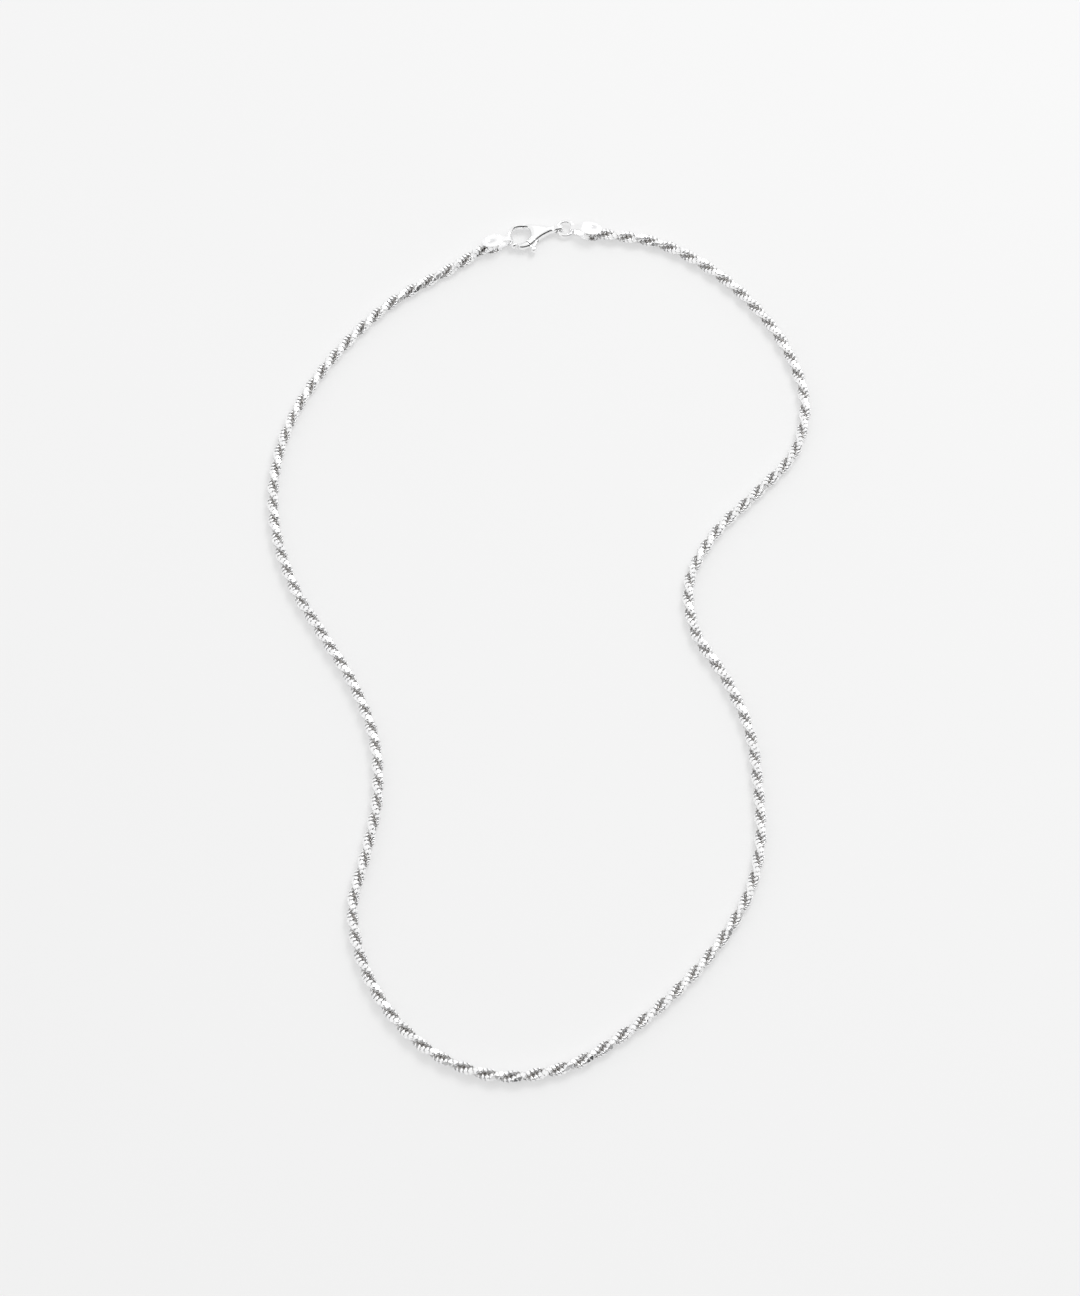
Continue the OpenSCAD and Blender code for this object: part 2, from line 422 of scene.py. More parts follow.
def feed(tree: Tree, node: bpy.types.Node, inputs: dict[str | int, Feed]) -> None:
    """Gives a node's inputs what they get.

    Args:
        tree: The tree that holds the node.
        node: The node.
        inputs: A fixed value or the output that is linked, by the input's name or number.
    """
    for key, value in inputs.items():
        if isinstance(value, Socket):
            tree.links.new(value, node.inputs[key])
        else:
            node.inputs[key].default_value = value


def worked_out(tree: Tree, operation: str, *values: Feed) -> Socket:
    """The result of a Math node.

    Args:
        tree: The tree that gets the node.
        operation: What the node does.
        values: Its inputs, in order.

    Returns:
        The result.
    """
    node = tree.nodes.new("ShaderNodeMath")
    node.operation = operation
    feed(tree, node, dict(enumerate(values)))
    return node.outputs[0]


def rescaled(tree: Tree, value: Feed, span: Span = (0.0, 1.0),
             gives: Span = (0.0, 1.0), smooth: bool = False) -> Socket:
    """A value that runs over one range while another crosses a span, and stays at its ends.

    Args:
        tree: The tree that gets the node.
        value: The value that crosses the span.
        span: Where it starts and where it ends.
        gives: What comes out at the start and at the end.
        smooth: Whether it eases in and out.

    Returns:
        The value that comes out.
    """
    node = tree.nodes.new("ShaderNodeMapRange")
    node.interpolation_type = "SMOOTHSTEP" if smooth else "LINEAR"
    feed(tree, node, {"Value": value, "From Min": span[0], "From Max": span[1],
                      "To Min": gives[0], "To Max": gives[1]})
    return node.outputs["Result"]


def mixed(tree: Tree, share: Feed, one: Feed, other: Feed) -> Socket:
    """A mix of two colours.

    Args:
        tree: The tree that gets the node.
        share: Share of the other colour.
        one: The one colour.
        other: The other colour.

    Returns:
        The mixed colour.
    """
    node = tree.nodes.new("ShaderNodeMix")
    node.data_type = "RGBA"
    feed(tree, node, {"Factor": share, "A": one, "B": other})
    return node.outputs["Result"]


def noise(tree: Tree, inputs: dict[str, Feed]) -> Socket:
    """A noise, from what its node's inputs get by name."""
    node = tree.nodes.new("ShaderNodeTexNoise")
    feed(tree, node, inputs)
    return node.outputs["Fac"]


def on_object(tree: Tree) -> Socket:
    """The place on the piece, in its Object coordinates."""
    return tree.nodes.new("ShaderNodeTexCoord").outputs["Object"]


def placed_group(tree: Tree, group: Tree, inputs: dict[str, Feed]) -> bpy.types.Node:
    """Places a node group in a material.

    Args:
        tree: The material's tree.
        group: The group.
        inputs: What the group's inputs get, by name.

    Returns:
        The group's node.
    """
    node = tree.nodes.new("ShaderNodeGroup")
    node.node_tree = group
    feed(tree, node, inputs)
    return node


def new_group(name: str, takes: dict[str, SocketKind], gives: dict[str, SocketKind]) -> Tree:
    """A shader node group that has its sockets and nothing else yet.

    Args:
        name: The group's name.
        takes: Its inputs.
        gives: Its outputs.

    Returns:
        The group.
    """
    tree = bpy.data.node_groups.new(name, "ShaderNodeTree")
    for in_out, sockets in (("INPUT", takes), ("OUTPUT", gives)):
        for socket, kind in sockets.items():
            tree.interface.new_socket(socket, in_out=in_out, socket_type=kind.value)
    return tree


class SharedShading:
    """Shader node groups that all silver finishes use."""

    MARK_STRETCH = (1.0, 0.12, 1.0)
    MARK_SLANT = 25.0
    MARK_DETAIL = 6.0
    MARK_ROUGHNESS = 0.65
    CLOUD_DETAIL = 3.0
    CLOUD_SHARE = 0.18
    NOISE_MEAN = 0.5
    TONE_DETAIL = 4.0
    TONE_SPAN = (0.42, 0.72)

    def __init__(self) -> None:
        """Builds the groups once."""
        self.brushing = self._brushing()
        self.tarnish = self._tarnish()

    def _brushing(self) -> Tree:
        """Fine polishing marks: a height and a roughness that change over the surface."""
        number = SocketKind.NUMBER
        tree = new_group("polishing_marks",
                         takes={"Scale": number, "Roughness": number, "Spread": number},
                         gives={"Roughness": number, "Height": number})
        given = tree.nodes.new("NodeGroupInput").outputs
        place = on_object(tree)
        stretch = tree.nodes.new("ShaderNodeMapping")
        slant = (0.0, 0.0, math.radians(self.MARK_SLANT))
        feed(tree, stretch, {"Vector": place, "Scale": self.MARK_STRETCH, "Rotation": slant})
        marks = noise(tree, {"Vector": stretch.outputs["Vector"], "Scale": given["Scale"],
                             "Detail": self.MARK_DETAIL, "Roughness": self.MARK_ROUGHNESS})
        coarse = worked_out(tree, "MULTIPLY", given["Scale"], self.CLOUD_SHARE)
        clouds = noise(tree, {"Vector": place, "Scale": coarse, "Detail": self.CLOUD_DETAIL})
        centred = worked_out(tree, "SUBTRACT", clouds, self.NOISE_MEAN)
        spread = worked_out(tree, "MULTIPLY_ADD", centred, given["Spread"], given["Roughness"])
        feed(tree, tree.nodes.new("NodeGroupOutput"), {"Roughness": spread, "Height": marks})
        return tree

    def _tarnish(self) -> Tree:
        """A tone that drifts a little between bright and handled silver."""
        colour = SocketKind.COLOUR
        tree = new_group("handled_tone",
                         takes={"Bright": colour, "Handled": colour, "Scale": SocketKind.NUMBER},
                         gives={"Color": colour})
        given = tree.nodes.new("NodeGroupInput").outputs
        drift = noise(tree, {"Vector": on_object(tree), "Scale": given["Scale"],
                             "Detail": self.TONE_DETAIL})
        tone = mixed(tree, rescaled(tree, drift, span=self.TONE_SPAN), given["Bright"],
                     given["Handled"])
        feed(tree, tree.nodes.new("NodeGroupOutput"), {"Color": tone})
        return tree


@dataclass(frozen=True)
class SilverFinish:
    """One finish of silver.

    Attributes:
        name: The material's name.
        bright: Colour of the clean silver.
        handled: Colour where it has been handled.
        tone_scale: Scale of the noise between the two.
        roughness: Mean roughness.
        spread: How much the roughness drifts.
        mark_scale: Scale of the polishing marks.
        mark_depth: Depth of the polishing marks, in metres.
        recess: Colour deep in a piece that has a depth attribute: painted shade, in the rope also
            its oxide.
        recess_span: Depths at which that colour starts and is full.
    """

    name: str
    bright: Triple
    handled: Triple
    tone_scale: float
    roughness: float
    spread: float
    mark_scale: float
    mark_depth: float
    recess: Triple | None = None
    recess_span: Span = (0.38, 0.85)

    def material(self, shared: SharedShading) -> Material:
        """Makes the finish's material.

        Args:
            shared: The node groups.

        Returns:
            The material.
        """
        material = bpy.data.materials.new(self.name)
        material.use_nodes = True
        tree = material.node_tree
        tone = placed_group(tree, shared.tarnish, {
            "Bright": (*self.bright, 1.0), "Handled": (*self.handled, 1.0),
            "Scale": self.tone_scale})
        marks = placed_group(tree, shared.brushing, {
            "Scale": self.mark_scale, "Roughness": self.roughness, "Spread": self.spread})
        colour = tone.outputs["Color"]
        if self.recess:
            colour = self._recessed(tree, colour)
        bump = tree.nodes.new("ShaderNodeBump")
        feed(tree, bump, {"Distance": self.mark_depth, "Strength": 1.0,
                          "Height": marks.outputs["Height"]})
        feed(tree, tree.nodes["Principled BSDF"], {
            "Metallic": 1.0, "Base Color": colour, "Roughness": marks.outputs["Roughness"],
            "Normal": bump.outputs["Normal"]})
        return material

    def _recessed(self, tree: Tree, colour: Socket) -> Socket:
        """Darkens the colour with the depth in the rope or in a cap's bowl, as painted shade.

        Args:
            tree: The material's tree.
            colour: The colour at the outside.

        Returns:
            The colour with its painted recess shade.
        """
        depth = tree.nodes.new("ShaderNodeAttribute")
        depth.attribute_name = "depth"
        share = rescaled(tree, depth.outputs["Fac"], span=self.recess_span, smooth=True)
        return mixed(tree, share, colour, (*self.recess, 1.0))


# The rope's recess colour is painted shade deep among the links, and partly the oxide that silver
# gathers there.
ROPE_WIRE = SilverFinish(
    name="rope_wire_silver", bright=(0.98, 0.98, 0.98), handled=(0.92, 0.92, 0.93),
    tone_scale=420.0, roughness=0.26, spread=0.08, mark_scale=9000.0, mark_depth=0.000003,
    recess=(0.56, 0.54, 0.52))
ROPE_CUT = SilverFinish(
    name="rope_cut_silver", bright=(0.99, 0.99, 0.99), handled=(0.97, 0.97, 0.98),
    tone_scale=300.0, roughness=0.07, spread=0.05, mark_scale=12000.0, mark_depth=0.000001)
# The cap's recess colour is painted shade in the middle of each cap's bowl.
CAP_SHEET = SilverFinish(
    name="cap_sheet_silver", bright=(0.96, 0.96, 0.96), handled=(0.89, 0.89, 0.90),
    tone_scale=350.0, roughness=0.16, spread=0.10, mark_scale=5000.0, mark_depth=0.000004,
    recess=(0.80, 0.80, 0.81))
CLASP_CAST = SilverFinish(
    name="clasp_cast_silver", bright=(0.96, 0.96, 0.96), handled=(0.88, 0.88, 0.89),
    tone_scale=300.0, roughness=0.18, spread=0.12, mark_scale=4000.0, mark_depth=0.000005)
RING_WIRE = SilverFinish(
    name="ring_wire_silver", bright=(0.96, 0.96, 0.96), handled=(0.90, 0.90, 0.91),
    tone_scale=500.0, roughness=0.14, spread=0.08, mark_scale=6000.0, mark_depth=0.000003)
PIN_END = SilverFinish(
    name="pin_filed_silver", bright=(0.86, 0.86, 0.86), handled=(0.74, 0.74, 0.75),
    tone_scale=800.0, roughness=0.30, spread=0.12, mark_scale=9000.0, mark_depth=0.000006)


@dataclass(frozen=True)
class TwistSwing:
    """A slow swing of the twist along the rope: its waves, its degrees and where it starts."""

    waves: int
    size: float
    phase: float

    def at(self, share: float) -> float:
        """Degrees that it adds at a share of the rope's length."""
        return self.size * math.sin(math.tau * self.waves * (share - self.phase))


@dataclass(frozen=True)
class RopeOfLinks:
    """The rope: open wire links in two strands, each link through four others.

    Each link sits half a turn and a little more round the rope from the one before, so the even
    and the odd links make two strands that twist round each other to the left. The wire of a link
    is hammered broad where it has room. The rope is drawn in to an oval that turns with its
    strands, and whatever then stands out beyond the flats is planed off.
    """

    layout: Layout

    # The rope as its links are laid up, in millimetres and in wire thicknesses across it
    outer_d: float = 2.9
    wires_across: float = 6.48

    # A link and its place in the rope, in wire thicknesses and degrees
    link_r: float = 1.663
    offset: float = 0.97
    rise: float = 0.870
    tilt: float = 58.4
    facing: float = 84.4
    opening: float = 110.0
    opening_towards: Triple = (-0.65, -0.45, -0.62)

    # The turn past half a turn from link to link, in degrees
    twist: float = 16.0
    twist_swings: tuple[TwistSwing, ...] = (TwistSwing(1, 0.55, 0.50), TwistSwing(2, 1.27, 0.13))

    # The wire of a link and its hammering, in wire thicknesses
    wire_share: float = 0.96
    wire_sides: int = 6
    link_steps: int = 12
    widest: float = 1.9
    spare: float = 0.18
    meets_within: float = 0.9
    meets_beyond: float = 0.2
    neighbours: int = 4
    probes: int = 90
    squareness: float = 0.3
    square_at: float = 0.6

    # Share of its size that the rope keeps at right angles to the line through both strands
    pinch: float = 0.72

    # The flats, in millimetres and radians
    flats: int = 8
    flat_reach: float = 1.18
    capped_reach: float = 1.14
    reach_fade: float = 2.0
    least_cut: float = 0.01
    flat_drift: float = 0.9
    drift_rate: float = 11.0
    drift_wave: float = 23.0
    flat_jitter: float = 0.03
    seed: int = 11

    # Distance within which a cut's points are one, and the gap under the rope, in millimetres
    merge: float = 1e-5
    clearance: float = 0.005

    @property
    def wire(self) -> float:
        """Wire thickness that the arrangement is scaled by."""
        return self.outer_d / self.wires_across

    @property
    def half_wire(self) -> float:
        """Half the thickness of a link's wire before the hammering."""
        return self.wire * self.wire_share / 2

    @property
    def lying_at(self) -> float:
        """Height of the rope's middle line over the surface."""
        return self.flat_reach / math.cos(math.pi / self.flats) + self.clearance

    def link(self) -> BMesh:
        """One open link in the rope's frame, at the first place of the arrangement."""
        bm = bent_wire(
            bend=self.link_r * self.wire, thickness=self.wire * self.wire_share,
            start=self.opening / 2, sweep=360 - self.opening, sides=self.wire_sides,
            steps=self.link_steps, roll=math.pi / self.wire_sides)
        for face in bm.faces:
            face.smooth = len(face.verts) == 4
        place = self._first_place()
        self._broaden(bm, place)
        bmesh.ops.transform(bm, matrix=place, verts=bm.verts)
        self._pinch(bm)
        # The depth below the rope's outside drives the painted recess shade in the rope's material.
        depth = bm.verts.layers.float.new("depth")
        for vert in bm.verts:
            vert[depth] = 1 - vert.co.xy.length / (self.outer_d / 2)
        return bm

    def _first_place(self) -> Matrix:
        """Where the first link stands in the rope's frame."""
        tilt, facing = math.radians(self.tilt), math.radians(self.facing)
        normal = Vector((math.sin(tilt) * math.cos(facing), -math.sin(tilt) * math.sin(facing),
                         math.cos(tilt)))
        towards = Vector(self.opening_towards)
        towards = (towards - towards.dot(normal) * normal).normalized()
        rows = Matrix((towards, normal.cross(towards), normal)).transposed().to_4x4()
        return Matrix.Translation((self.offset * self.wire, 0, 0)) @ rows

    def _advance(self, links: int) -> Matrix:
        """From a link's place to the place some links further on."""
        turn = Matrix.Rotation(-math.radians(180 + self.twist) * links, 4, "Z")
        return Matrix.Translation((0, 0, self.rise * self.wire * links)) @ turn

    def _arc(self, steps: int) -> list[Vector]:
        """Points of the middle line of a link's wire, in the link's own frame."""
        span = 360 - self.opening
        radius = self.link_r * self.wire
        return [radius * turned(self.opening / 2 + span * k / steps) for k in range(steps + 1)]

    def _rooms(self, place: Matrix, side: int) -> list[float]:
        """How wide the wire can be on one side before it almost meets a neighbour.

        Args:
            place: The link's place in the rope's frame.
            side: 1 for the side that the link's own Z points to, -1 for the other.

        Returns:
            The half width at each section of the link.
        """
        others = []
        for links in range(-self.neighbours, self.neighbours + 1):
            if links:
                moved = place.inverted() @ self._advance(links) @ place
                others += [moved @ point for point in self._arc(self.probes)]
        beyond, within = self.meets_beyond * self.wire, self.meets_within * self.wire
        rooms = []
        for middle in self._arc(self.link_steps):
            room = self.widest * self.wire
            for point in others:
                away = point - middle
                ahead = away.z * side
                if ahead > beyond and away.xy.length < within:
                    room = min(room, (ahead - self.spare * self.wire) / 2)
            rooms.append(max(room, self.half_wire))
        last = len(rooms) - 1
        means = [(rooms[max(i - 1, 0)] + rooms[i] + rooms[min(i + 1, last)]) / 3
                 for i in range(last + 1)]
        return [min(pair) for pair in zip(rooms, means)]

    def _broaden(self, bm: BMesh, place: Matrix) -> None:
        """Broadens the link's wire to the room that it has, as hammering does.

        Args:
            bm: The link, still flat about the origin.
            place: Its place in the rope's frame.
        """
        rooms = {side: self._rooms(place, side) for side in (1, -1)}
        least = self.half_wire
        for vert in bm.verts:
            angle = math.degrees(math.atan2(vert.co.y, vert.co.x)) % 360
            step = (angle - self.opening / 2) / (360 - self.opening) * self.link_steps
            side = 1 if vert.co.z > 0 else -1
            width = rooms[side][round(step)]
            square = min(1.0, (width / least - 1) / self.square_at)
            power = 1 + (self.squareness - 1) * square
            vert.co.z = side * width * min(1.0, abs(vert.co.z) / least) ** power

    def _pinch(self, bm: BMesh) -> None:
        """Draws the rope in to an oval, which leaves a neck at every half turn.

        Args:
            bm: The first link, in the rope's frame.
        """
        for vert in bm.verts:
            phase = -self.twist * vert.co.z / (self.rise * self.wire)
            across = turned(phase + 90)
            vert.co += across * vert.co.dot(across) * (self.pinch - 1)

    def _plane_cut(self, bm: BMesh, angle: float, reach: float) -> None:
        """Planes one flat across whatever stands out beyond it.

        Args:
            bm: The link, turned to its place round the rope.
            angle: The flat's direction round the rope, in radians.
            reach: The flat's distance from the rope's middle line.
        """
        out = Vector((math.cos(angle), math.sin(angle), 0))
        if max(v.co.dot(out) for v in bm.verts) < reach + self.least_cut:
            return
        cut = bmesh.ops.bisect_plane(
            bm, geom=bm.verts[:] + bm.edges[:] + bm.faces[:], dist=self.merge,
            plane_co=out * reach, plane_no=out, clear_outer=True)
        rim = [e for e in cut["geom_cut"] if isinstance(e, bmesh.types.BMEdge)]
        for face in bmesh.ops.holes_fill(bm, edges=rim, sides=0)["faces"]:
            face.smooth = False
            face.material_index = 1

    def _reach(self, to_end: float) -> float:
        """Reach of the flats at a distance from the rope's end, less inside the caps."""
        share = min(1.0, max(0.0, (to_end - self.layout.rope_grip) / self.reach_fade))
        return self.capped_reach + (self.flat_reach - self.capped_reach) * share

    def _turn_between(self, share: float) -> float:
        """Degrees from one link to the next at a share of the rope's length."""
        return 180 + self.twist + sum(swing.at(share) for swing in self.twist_swings)

    def _drift(self, share: float) -> float:
        """Direction of the first flat at a share of the rope's length, in radians."""
        return self.flat_drift * (share * self.drift_rate + math.sin(share * self.drift_wave))

    def build(self, line: RopeLine) -> list[Mesh]:
        """Builds both strands.

        Args:
            line: The rope's middle line.

        Returns:
            A mesh for the even links and one for the odd links, in place in metres.
        """
        chance = random.Random(self.seed)
        count = int(line.length / (self.rise * self.wire))
        stations = [(i + 0.5) * line.length / count for i in range(count)]
        pattern = self.link()
        strands = [bmesh.new(), bmesh.new()]
        scratch = bpy.data.meshes.new("link")
        turn = 0.0
        for i, (place, station) in enumerate(zip(line.frames(stations), stations)):
            share = station / line.length
            turn -= self._turn_between(share)
            bm = pattern.copy()
            round_rope = Matrix.Rotation(math.radians(turn), 4, "Z")
            bmesh.ops.transform(bm, matrix=round_rope, verts=bm.verts)
            drift = self._drift(share) + chance.uniform(-self.flat_jitter, self.flat_jitter)
            reach = self._reach(min(station, line.length - station))
            for k in range(self.flats):
                self._plane_cut(bm, drift + k * math.tau / self.flats, reach)
            to_metres(bm, place)
            bm.to_mesh(scratch)
            bm.free()
            strands[i % 2].from_mesh(scratch)
        bpy.data.meshes.remove(scratch)
        pattern.free()
        return [mesh_from(bm, "strand") for bm in strands]

    def make(self, wire: Material, cut: Material) -> None:
        """Builds, dresses and hands over the two strands.

        Args:
            wire: Finish of the links' round wire.
            cut: Finish of the diamond-cut flats.
        """
        line = RopeLine(self.layout, self.lying_at)
        for name, mesh in zip(("rope_strand_one", "rope_strand_two"), self.build(line)):
            hand_over(finished(name, mesh, (wire, cut)), Body.NECKLACE, Slot.ROPE, "rope_chain")


@dataclass(frozen=True)
class CrispSpot:
    """A circle in the plan whose walls don't round a cast piece's faces over."""

    at: Vector
    radius: float

    def holds(self, co: Vector) -> bool:
        """Whether a point lies in the circle."""
        return (co.xy - self.at.xy).length <= self.radius


@dataclass(frozen=True)
class Bowl:
    """A shallow oval bowl in a cap's top plate, in the cap's own frame and millimetres."""

    place: Matrix
    at_y: float
    at_x: float = 4.9
    half_x: float = 1.45
    half_y: float = 0.7
    deep: float = 0.06
    above: float = 2.0

    def press(self, bm: BMesh) -> None:
        """Presses the bowl into the plate and marks its depth for the material's painted shade.

        Args:
            bm: The cap, in its place in millimetres.
        """
        back = self.place.inverted()
        depth = bm.verts.layers.float.new("depth")
        for vert in bm.verts:
            own = back @ vert.co
            reach = math.hypot((own.x - self.at_x) / self.half_x, (own.y - self.at_y) / self.half_y)
            if own.z > self.above and reach < 1:
                vert[depth] = 1 - reach * reach
                vert.co.z -= self.deep * vert[depth] ** 2


@dataclass(frozen=True)
class CastPiece:
    """A piece that keeps its solid's form with the soft edges of polished silver.

    Attributes:
        node: The solid's node.
        name: The piece's name.
        body: The body that it moves with.
        slot: Its material slot.
        voxel: Size of the faces of its new skin.
        softening: Rounds of smoothing.
        rounding: Radius that its flat faces are rounded over with, or none.
        flat_from: Height from the middle that a wall must pass to round the faces over.
        crisp: Circles whose walls don't.
        bowl: The bowl in its top, or none.
        merge: Distance within which the solid's points are one.
        wall_tilt: Steepness of what counts as a wall, as the most that its normal rises.
        factor: How far each round of smoothing goes.
    """

    node: str
    name: str
    body: Body
    slot: Slot
    voxel: float = 0.06
    softening: int = 14
    rounding: float = 0.0
    flat_from: float = 0.0
    crisp: tuple[CrispSpot, ...] = ()
    bowl: Bowl | None = None
    merge: float = 1e-4
    wall_tilt: float = 0.4
    factor: float = 0.5

    def make(self, finish: Material) -> None:
        """Builds, dresses and hands over the piece.

        Args:
            finish: The piece's material.
        """
        bm = self._solid()
        if self.rounding:
            bm = self._reskinned(bm, 0)
            self._dome(bm)
        bm = self._reskinned(bm, self.softening)
        if self.bowl:
            self.bowl.press(bm)
        to_metres(bm, Matrix())
        shade_smooth(bm)
        piece = finished(self.name, mesh_from(bm, self.name), (finish,))
        hand_over(piece, self.body, self.slot, self.node)

    def _solid(self) -> BMesh:
        """The node's solid in millimetres, with its loose triangles merged."""
        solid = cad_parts[self.node]
        bm = bmesh.new()
        bm.from_mesh(solid.data)
        place = Matrix.Scale(1 / MM, 4) @ solid.matrix_world
        bmesh.ops.transform(bm, matrix=place, verts=bm.verts)
        bmesh.ops.remove_doubles(bm, verts=bm.verts, dist=self.merge)
        return bm

    def _reskinned(self, bm: BMesh, softening: int) -> BMesh:
        """An even skin of small faces round a form.

        Args:
            bm: The form in millimetres, which is freed.
            softening: Rounds of smoothing that follow.

        Returns:
            The new skin.
        """
        rough = finished("rough", mesh_from(bm, "rough"), ())
        remesh = rough.modifiers.new("remesh", "REMESH")
        remesh.mode = "VOXEL"
        remesh.voxel_size = self.voxel
        if softening:
            soften = rough.modifiers.new("soften", "SMOOTH")
            soften.iterations = softening
            soften.factor = self.factor
        graph = bpy.context.evaluated_depsgraph_get()
        mesh = bpy.data.meshes.new_from_object(rough.evaluated_get(graph))
        bpy.data.objects.remove(rough)
        out = bmesh.new()
        out.from_mesh(mesh)
        bpy.data.meshes.remove(mesh)
        return out

    def _dome(self, bm: BMesh) -> None:
        """Rounds the flat faces over towards the piece's outline.

        Args:
            bm: The even skin, in millimetres.
        """
        bm.normal_update()
        half = (max(v.co.z for v in bm.verts) - min(v.co.z for v in bm.verts)) / 2
        middle = min(v.co.z for v in bm.verts) + half
        radius = self.rounding
        rim = [v.co for v in bm.verts
               if abs(v.normal.z) < self.wall_tilt and abs(v.co.z - middle) > self.flat_from
               and not any(spot.holds(v.co) for spot in self.crisp)]
        tree = KDTree(len(rim))
        for i, co in enumerate(rim):
            tree.insert((co.x, co.y, 0), i)
        tree.balance()
        for vert in bm.verts:
            away = tree.find((vert.co.x, vert.co.y, 0))[2]
            inset = max(0.0, radius - away)
            roof = half - radius + math.sqrt(radius * radius - min(inset, radius) ** 2)
            height = vert.co.z - middle
            vert.co.z = middle + math.copysign(min(abs(height), roof), height)


@dataclass(frozen=True)
class EndCaps:
    """The two fold-over end caps, whose plates hold the rope's ends."""

    layout: Layout
    voxel: float = 0.05
    softening: int = 6
    left_bowl_y: float = 0.0
    right_bowl_y: float = 0.4

    def make(self, finish: Material) -> None:
        """Builds, dresses and hands over both caps.

        Args:
            finish: The caps' material.
        """
        left = Bowl(self.layout.cap_left_matrix(), self.left_bowl_y)
        right = Bowl(self.layout.cap_right_matrix(), self.right_bowl_y)
        for side, bowl in (("left", left), ("right", right)):
            cap = CastPiece(
                f"end_cap_{side}", f"cap_{side}_plate", Body.NECKLACE, Slot.CAP,
                voxel=self.voxel, softening=self.softening, bowl=bowl)
            cap.make(finish)


@dataclass(frozen=True)
class LobsterClasp:
    """The clasp's cast body and its lever, which are rounded over like a pillow.

    The root and the tip are the lever arm's. Their reaches are in millimetres and their turns in
    degrees, from the lever's pivot, and a spot is the radius of a crisp circle.
    """

    layout: Layout
    body_rounding: float = 1.0
    body_flat_from: float = 0.65
    lever_rounding: float = 0.95
    lever_flat_from: float = 0.60
    pin_spot: float = 0.55
    root_reach: float = 1.6
    root_turn: float = 34.0
    root_spot: float = 1.05
    tip_reach: float = 3.93
    tip_turn: float = 11.3
    tip_spot: float = 0.45
    hub_spot: float = 1.78

    def make(self, finish: Material) -> None:
        """Builds, dresses and hands over the body and the lever.

        Args:
            finish: The material of both.
        """
        pivot = self.layout.from_pivot()
        root = CrispSpot(self.layout.from_pivot(self.root_reach, self.root_turn), self.root_spot)
        tip = CrispSpot(self.layout.from_pivot(self.tip_reach, self.tip_turn), self.tip_spot)
        body = CastPiece(
            "clasp_body", "clasp_cast_body", Body.NECKLACE, Slot.CLASP,
            rounding=self.body_rounding, flat_from=self.body_flat_from,
            crisp=(CrispSpot(pivot, self.pin_spot), root, tip))
        lever = CastPiece(
            "clasp_lever", "clasp_cast_lever", Body.LEVER, Slot.CLASP,
            rounding=self.lever_rounding, flat_from=self.lever_flat_from,
            crisp=(CrispSpot(pivot, self.hub_spot), tip))
        body.make(finish)
        lever.make(finish)


@dataclass(frozen=True)
class HingePin:
    """The lever's pin, with filed ends that are flush with the clasp's two faces."""

    layout: Layout
    across: float = 0.7
    sides: int = 32
    rim: float = 0.06
    rim_steps: int = 3

    def make(self, finish: Material) -> None:
        """Builds, dresses and hands over the pin.

        Args:
            finish: The pin's material.
        """
        low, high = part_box("clasp_pin")
        bm = bmesh.new()
        bmesh.ops.create_cone(
            bm, cap_ends=True, segments=self.sides, radius1=self.across / 2,
            radius2=self.across / 2, depth=(high[2] - low[2]) / MM)
        round_rims(bm, self.sides, self.rim, self.rim_steps)
        shade_smooth(bm)
        middle = self.layout.from_pivot()
        middle.z = (high[2] + low[2]) / 2 / MM
        to_metres(bm, Matrix.Translation(middle))
        piece = finished("clasp_hinge_pin", mesh_from(bm, "pin"), (finish,))
        hand_over(piece, Body.NECKLACE, Slot.PIN, "clasp_pin")


@dataclass(frozen=True)
class JumpRing:
    """The jump ring between the clasp's eye and the right cap, closed end to end."""

    layout: Layout
    joint_turn: float = 292.0
    joint_gap: float = 1.2
    steps: int = 64
    sides: int = 20
    rim: float = 0.05
    rim_steps: int = 2

    def make(self, finish: Material) -> None:
        """Builds, dresses and hands over the ring.

        Args:
            finish: The ring's material.
        """
        bm = bent_wire(
            bend=self.layout.ring_d / 2, thickness=self.layout.ring_wire,
            start=self.joint_turn + self.joint_gap, sweep=360 - 2 * self.joint_gap,
            sides=self.sides, steps=self.steps)
        round_rims(bm, self.sides, self.rim, self.rim_steps)
        shade_smooth(bm)
        to_metres(bm, Matrix.Translation(self.layout.ring_at))
        piece = finished("jump_ring_wire", mesh_from(bm, "ring"), (finish,))
        hand_over(piece, Body.NECKLACE, Slot.RING, "jump_ring")


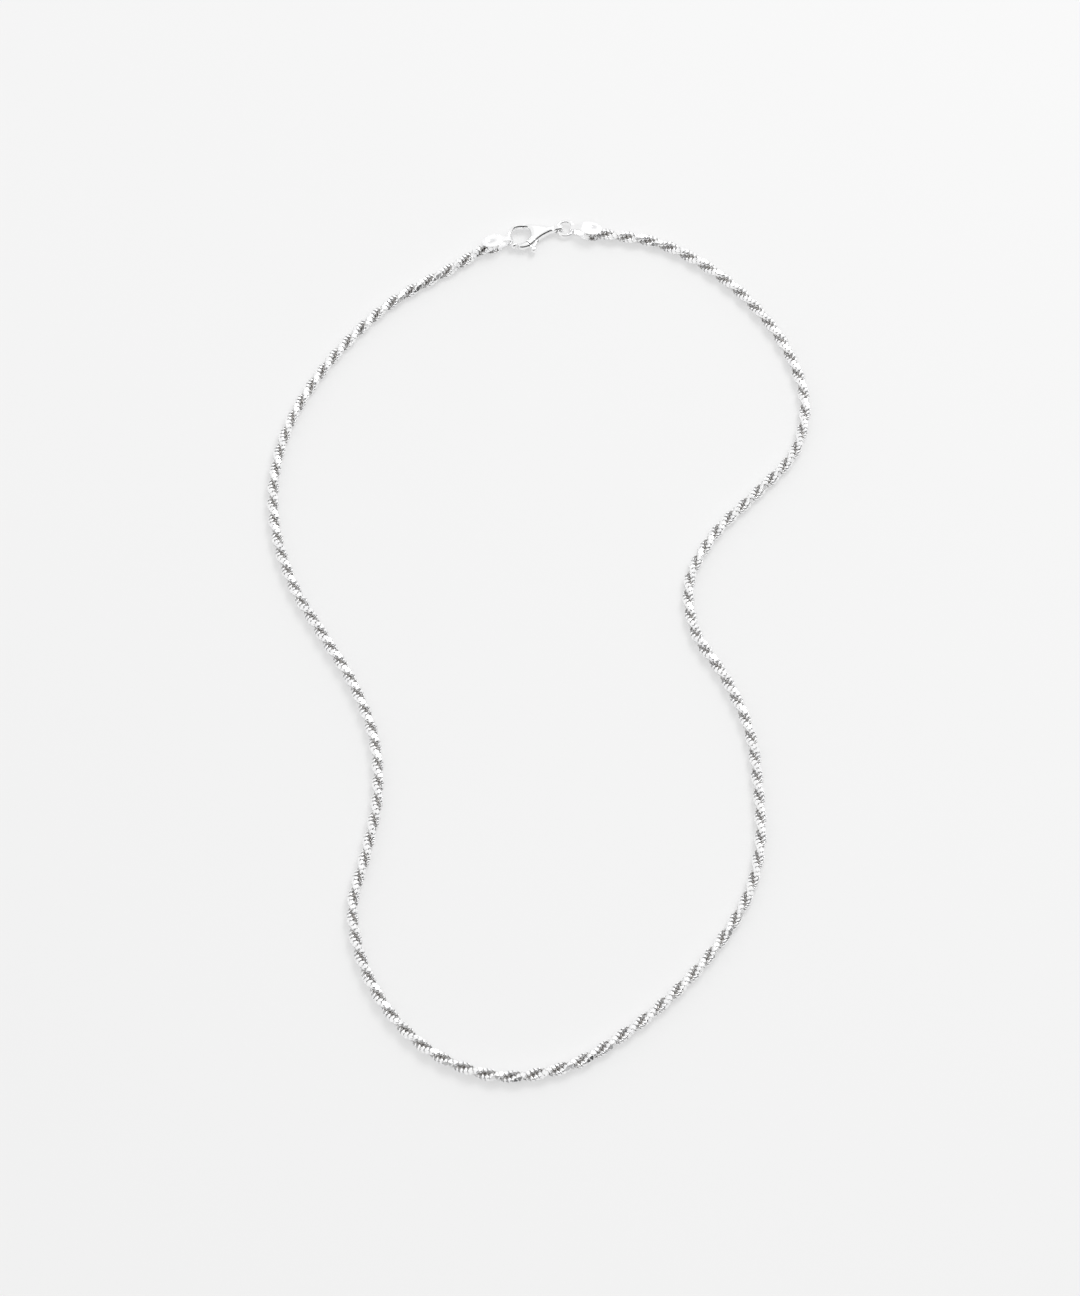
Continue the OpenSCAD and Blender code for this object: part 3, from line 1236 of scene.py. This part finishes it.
@dataclass(frozen=True)
class Studio:
    """The pale surface, the soft light, the room and the camera, in metres and degrees."""

    # The camera, as a view fitted to the photograph
    tilt: float = 24.0
    distance: float = 0.71297
    target: Triple = (-0.000385, -0.004538, 0.0)
    focal_px: float = 3480.0
    image_h: int = 1296
    sensor: float = 36.0
    clip: Span = (0.01, 10.0)

    # The surface
    floor_size: float = 3.0
    floor_tone: float = 0.36
    floor_drift: float = 0.01
    floor_noise: float = 3.0
    floor_glow: float = 0.489
    floor_roughness: float = 0.9
    floor_gloss: float = 0.1

    # The key light
    key_at: Triple = (0.35, 0.55, 0.80)
    key_size: float = 0.45
    key_watts: float = 4.8

    # The tent and its dark opening, with soft limits in height and to the sides
    sky: float = 0.95
    dark: float = 0.02
    opening_turn: float = -68.0
    opening_from: Span = (0.10, 0.20)
    opening_to: Span = (0.76, 0.60)
    opening_ahead: Span = (0.35, 0.60)

    def camera(self) -> None:
        """Sets the camera at the photograph's angle."""
        data = bpy.data.cameras.new("camera")
        data.sensor_width = self.sensor
        data.lens = self.focal_px / self.image_h * self.sensor
        data.clip_start, data.clip_end = self.clip
        camera = bpy.data.objects.new("camera", data)
        bpy.context.scene.collection.objects.link(camera)
        tilt = math.radians(self.tilt)
        back = Vector((0, -math.sin(tilt), math.cos(tilt)))
        camera.location = Vector(self.target) + back * self.distance
        camera.rotation_euler = (tilt, 0, 0)
        bpy.context.scene.camera = camera

    def surface(self) -> None:
        """Lays the pale surface."""
        bm = bmesh.new()
        bmesh.ops.create_grid(bm, x_segments=1, y_segments=1, size=self.floor_size)
        floor = finished("surface", mesh_from(bm, "surface"), (self._paper(),))

    def _paper(self) -> Material:
        """The surface's matt white, which gives off a part of its light itself."""
        material = bpy.data.materials.new("surface_white")
        material.use_nodes = True
        tree = material.node_tree
        drift = noise(tree, {"Vector": on_object(tree), "Scale": self.floor_noise})
        tones = (self.floor_tone - self.floor_drift, self.floor_tone + self.floor_drift)
        feed(tree, tree.nodes["Principled BSDF"], {
            "Base Color": rescaled(tree, drift, gives=tones), "Roughness": self.floor_roughness,
            "Specular IOR Level": self.floor_gloss, "Emission Color": (1, 1, 1, 1),
            "Emission Strength": self.floor_glow})
        return material

    def key_light(self) -> None:
        """Hangs the soft key light above, behind and to the right, turned to the necklace."""
        data = bpy.data.lights.new("key", "AREA")
        data.energy = self.key_watts
        data.size = self.key_size
        light = bpy.data.objects.new("key", data)
        light.location = self.key_at
        light.rotation_euler = (-Vector(self.key_at)).to_track_quat("-Z", "Y").to_euler()
        bpy.context.scene.collection.objects.link(light)

    def room(self) -> None:
        """Surrounds the scene with a white tent that is open to a dark room in front and right."""
        world = bpy.data.worlds.new("room")
        bpy.context.scene.world = world
        world.use_nodes = True
        tree = world.node_tree
        direction = tree.nodes.new("ShaderNodeTexCoord").outputs["Generated"]
        split = tree.nodes.new("ShaderNodeSeparateXYZ")
        feed(tree, split, {"Vector": direction})
        ahead = tree.nodes.new("ShaderNodeVectorMath")
        ahead.operation = "DOT_PRODUCT"
        feed(tree, ahead, {0: direction, 1: turned(self.opening_turn)})
        height = split.outputs["Z"]
        over = rescaled(tree, height, span=self.opening_from, smooth=True)
        under = rescaled(tree, height, span=self.opening_to, smooth=True)
        before = rescaled(tree, ahead.outputs["Value"], span=self.opening_ahead, smooth=True)
        opening = worked_out(tree, "MULTIPLY", worked_out(tree, "MULTIPLY", over, under), before)
        strength = rescaled(tree, opening, gives=(self.sky, self.dark))
        feed(tree, tree.nodes["Background"], {"Color": (1, 1, 1, 1), "Strength": strength})

    def set_up(self) -> None:
        """Builds the whole studio."""
        bpy.context.scene.view_settings.view_transform = "Standard"
        self.camera()
        self.surface()
        self.key_light()
        self.room()


def main() -> None:
    """Builds the studio and the necklace."""
    logging.basicConfig(level=logging.INFO, format="%(name)s %(message)s")
    layout = Layout()
    shared = SharedShading()
    Studio().set_up()
    RopeOfLinks(layout).make(ROPE_WIRE.material(shared), ROPE_CUT.material(shared))
    EndCaps(layout).make(CAP_SHEET.material(shared))
    LobsterClasp(layout).make(CLASP_CAST.material(shared))
    HingePin(layout).make(PIN_END.material(shared))
    JumpRing(layout).make(RING_WIRE.material(shared))


if __name__ == "__main__":
    main()
